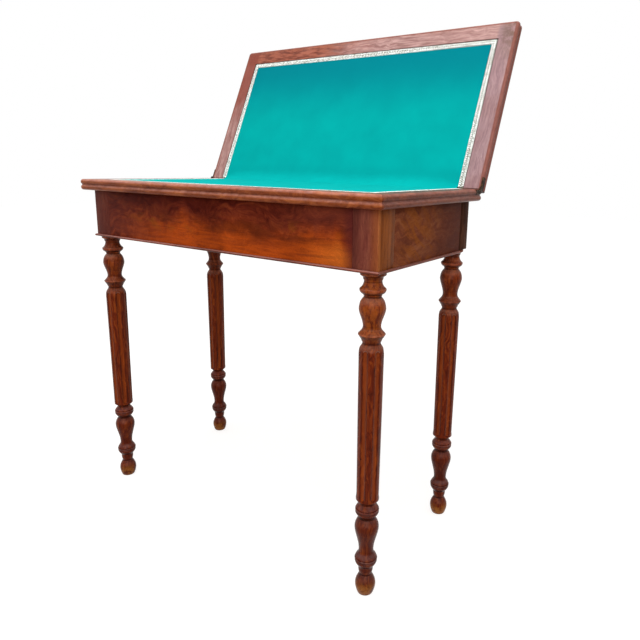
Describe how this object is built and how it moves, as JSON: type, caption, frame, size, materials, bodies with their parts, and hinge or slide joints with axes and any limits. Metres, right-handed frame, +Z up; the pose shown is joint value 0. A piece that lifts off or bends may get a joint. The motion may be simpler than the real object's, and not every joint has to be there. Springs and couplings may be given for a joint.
{
  "type": "games table",
  "caption": "Folding card table with a hinged double top lined with green baize, a shallow frieze, turned fluted legs and a back frame that slides out.",
  "frame": {"origin": "on the floor, under the middle of the box that holds the table with its lid leaning back", "axes": "+X to the right seen from the front, +Y to the back where the lid is hinged, +Z up"},
  "size_m": [0.8, 0.5692, 1.0897],
  "materials": {
    "dark_wood": "polished mahogany, upright grain",
    "figured_veneer": "polished flame-figured mahogany veneer",
    "bead_wood": "polished",
    "turned_wood": "polished turned mahogany",
    "border_wood": "worn polish",
    "inner_wood": "bare softwood",
    "baize": "woollen cloth",
    "braid": "woven flat braid",
    "brass": "tarnished"
  },
  "bodies": {
    "carcass": {"front_frieze": "figured_veneer", "right_frieze": "figured_veneer", "left_frieze": "figured_veneer", "post_front_right": "dark_wood", "post_front_left": "dark_wood", "leg_front_right": "turned_wood", "leg_front_left": "turned_wood", "base_bead_front": "bead_wood", "base_bead_right": "bead_wood", "base_bead_left": "bead_wood", "inner_back_rail": "inner_wood", "slide_guide_upper_right": "inner_wood", "slide_guide_upper_left": "inner_wood", "slide_guide_lower_right": "inner_wood", "slide_guide_lower_left": "inner_wood", "top_bearer": "inner_wood", "glue_block_front_left": "inner_wood", "glue_block_front_right": "inner_wood", "glue_block_back_left": "inner_wood", "glue_block_back_right": "inner_wood", "glue_block_left": "inner_wood", "glue_block_right": "inner_wood", "lower_leaf_board": "inner_wood", "lower_leaf_front_border": "border_wood", "lower_leaf_right_border": "border_wood", "lower_leaf_left_border": "border_wood", "lower_baize": "baize", "lower_braid": "braid", "lower_hinge_plate_right": "brass", "lower_hinge_plate_left": "brass", "lower_hinge_screw_right_1": "brass", "lower_hinge_screw_right_2": "brass", "lower_hinge_screw_left_1": "brass", "lower_hinge_screw_left_2": "brass"},
    "lid": {"lid_board": "inner_wood", "lid_veneer": "figured_veneer", "lid_top_border": "border_wood", "lid_left_border": "border_wood", "lid_right_border": "border_wood", "lid_baize": "baize", "lid_braid": "braid", "hinge_pin_left": "brass", "hinge_pin_right": "brass", "lid_hinge_plate_left": "brass", "lid_hinge_plate_right": "brass", "lid_hinge_screw_left_1": "brass", "lid_hinge_screw_left_2": "brass", "lid_hinge_screw_right_1": "brass", "lid_hinge_screw_right_2": "brass"},
    "back_frame": {"back_frame_rail": "dark_wood", "back_block_right": "dark_wood", "back_block_left": "dark_wood", "leg_back_right": "turned_wood", "leg_back_left": "turned_wood", "slide_arm_right": "inner_wood", "slide_arm_left": "inner_wood", "slide_front_bar": "inner_wood"}
  },
  "joints": [
    {"name": "lid_hinge", "type": "hinge", "parent": "carcass", "child": "lid", "pos_m": [0, 0.10565, 0.73525], "axis": [-1, 0, 0], "range_deg": [-114, 66]},
    {"name": "back_frame_slide", "type": "slide", "parent": "carcass", "child": "back_frame", "axis": [0, 1, 0], "range_m": [-0.0075, 0.1855]}
  ]
}
